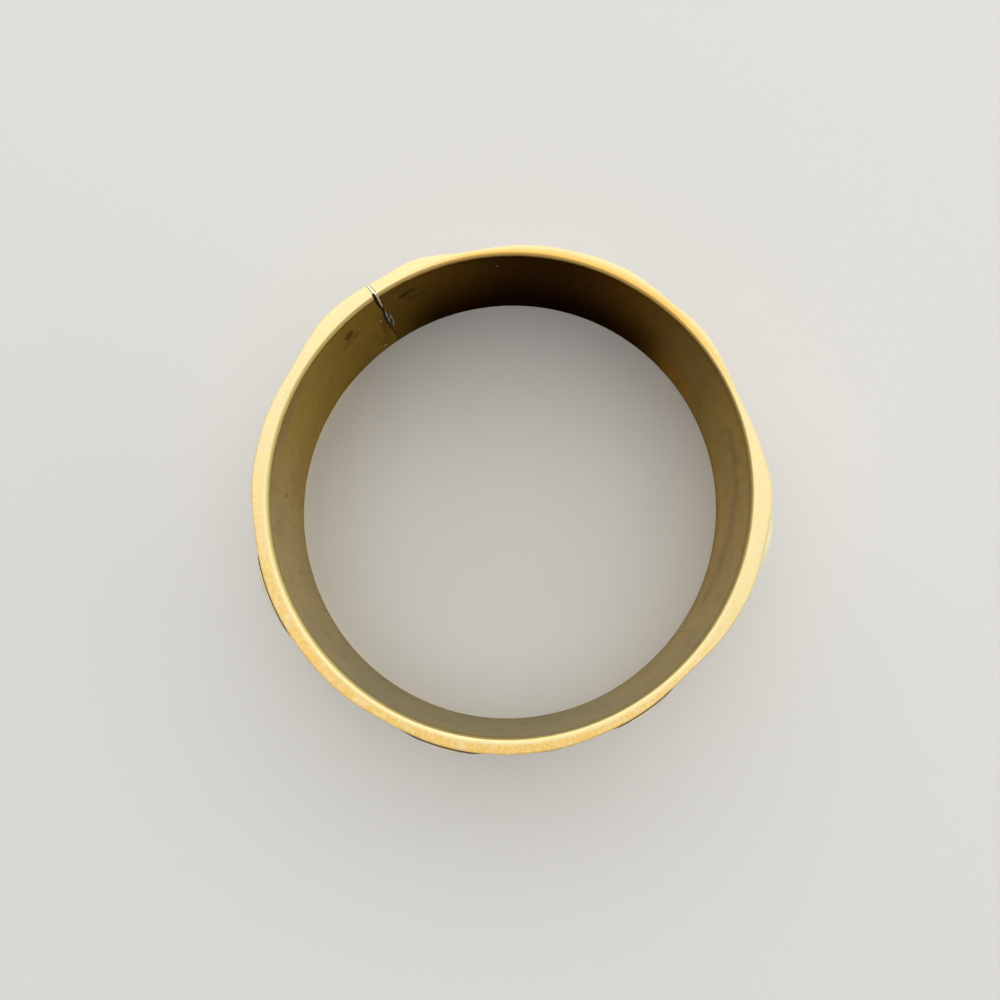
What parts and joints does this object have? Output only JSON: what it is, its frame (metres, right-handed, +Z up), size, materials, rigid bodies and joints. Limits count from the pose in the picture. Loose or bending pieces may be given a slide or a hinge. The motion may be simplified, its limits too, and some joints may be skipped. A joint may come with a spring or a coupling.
{
  "type": "inlay bangle",
  "caption": "Broad stiff bangle worn on the wrist: a brass channel bent into a ring, with hand-filed wavy rims, a soldered seam and pale tiles set all round its outer face.",
  "frame": {"origin": "on the axis of the wrist opening, in the plane of the lower rim, on which the bangle lies", "axes": "+Z up along the axis of the wrist opening; +X to the right and +Y away from the viewer, with the soldered seam about 124 degrees round from +X towards +Y"},
  "size_m": [0.0692, 0.068, 0.024],
  "materials": {
    "brass": "brushed and polished rims, dull olive-brown tarnish on the bore wall",
    "inlay": "satin polished pale shell"
  },
  "bodies": {
    "root": {"channel": "brass", "inlay_tile_01": "inlay", "inlay_tile_02": "inlay", "inlay_tile_03": "inlay", "inlay_tile_04": "inlay", "inlay_tile_05": "inlay", "inlay_tile_06": "inlay", "inlay_tile_07": "inlay", "inlay_tile_08": "inlay", "inlay_tile_09": "inlay", "inlay_tile_10": "inlay", "inlay_tile_11": "inlay", "inlay_tile_12": "inlay", "inlay_tile_13": "inlay", "inlay_tile_14": "inlay", "inlay_tile_15": "inlay"}
  },
  "joints": []
}
